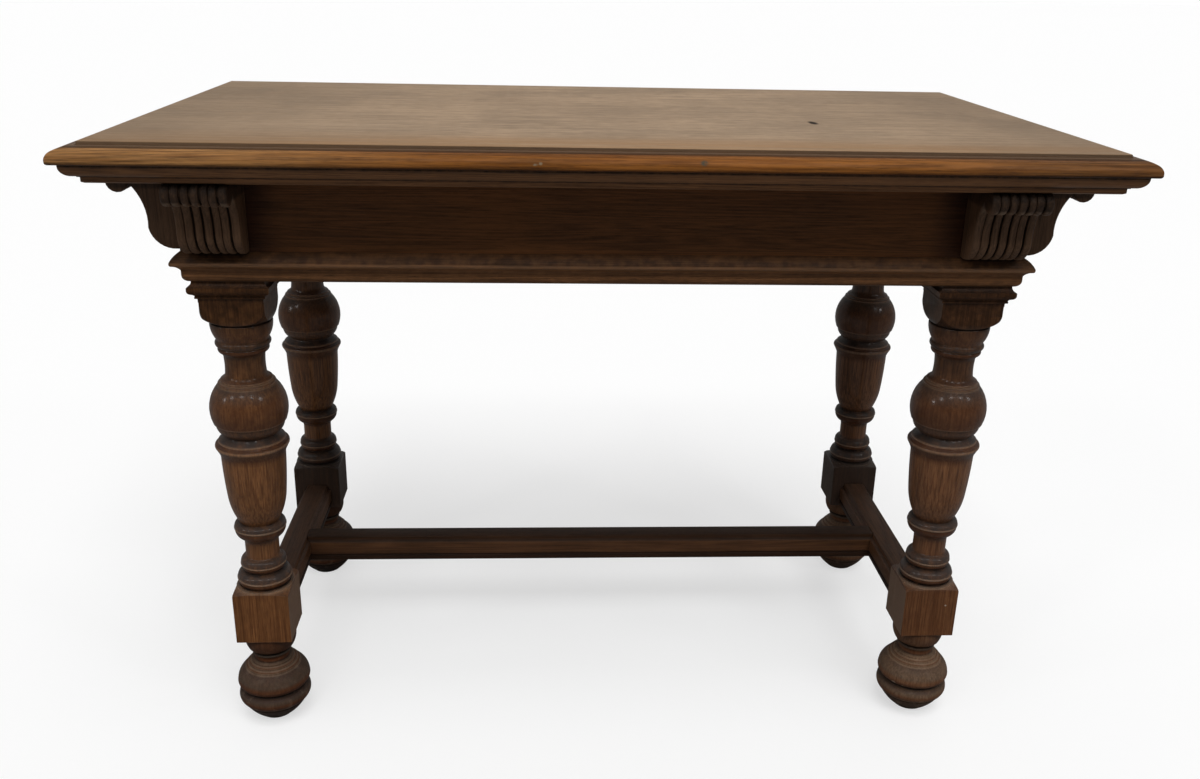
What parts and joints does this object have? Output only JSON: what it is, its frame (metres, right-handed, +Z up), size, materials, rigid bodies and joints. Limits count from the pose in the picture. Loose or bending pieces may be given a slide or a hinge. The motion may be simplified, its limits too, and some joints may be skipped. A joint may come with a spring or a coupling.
{
  "type": "refectory table",
  "caption": "Oak table with a moulded top, a deep frieze with reeded corbels, turned ball-and-vase legs on bun feet and a low H stretcher, for dining, writing or display.",
  "frame": {"origin": "on the floor, under the middle of the top", "axes": "+X along the length, +Y from the front of the table to its back, +Z up"},
  "size_m": [1.144, 0.668, 0.77],
  "materials": {
    "oak_top": "worn waxed oak, greyed, open grain",
    "oak_moulding": "dark waxed oak, worn edges",
    "oak_frieze": "dark stained oak, satin",
    "oak_carved": "carved oak, greyed on the high places",
    "oak_turned": "turned oak, waxed, open grain",
    "oak_stretcher": "stained oak, dusty on top",
    "oak_inner": "bare sawn oak"
  },
  "bodies": {
    "root": {"base_moulding_back": "oak_moulding", "base_moulding_front": "oak_moulding", "base_moulding_left": "oak_moulding", "base_moulding_right": "oak_moulding", "bed_frame_back": "oak_moulding", "bed_frame_front": "oak_moulding", "bed_frame_left": "oak_moulding", "bed_frame_right": "oak_moulding", "corbel_back_left": "oak_carved", "corbel_back_right": "oak_carved", "corbel_front_left": "oak_carved", "corbel_front_right": "oak_carved", "corbel_left_back": "oak_carved", "corbel_left_front": "oak_carved", "corbel_right_back": "oak_carved", "corbel_right_front": "oak_carved", "corner_post_back_left": "oak_inner", "corner_post_back_right": "oak_inner", "corner_post_front_left": "oak_inner", "corner_post_front_right": "oak_inner", "cross_bearer": "oak_inner", "end_stretcher_left": "oak_stretcher", "end_stretcher_right": "oak_stretcher", "foot_back_left": "oak_turned", "foot_back_right": "oak_turned", "foot_front_left": "oak_turned", "foot_front_right": "oak_turned", "frieze_back": "oak_frieze", "frieze_front": "oak_frieze", "frieze_left": "oak_frieze", "frieze_right": "oak_frieze", "glue_blocks": "oak_inner", "leg_back_left": "oak_turned", "leg_back_right": "oak_turned", "leg_front_left": "oak_turned", "leg_front_right": "oak_turned", "long_stretcher": "oak_stretcher", "top_board_back": "oak_top", "top_board_front": "oak_top", "top_board_middle": "oak_top", "top_buttons": "oak_inner"}
  },
  "joints": []
}
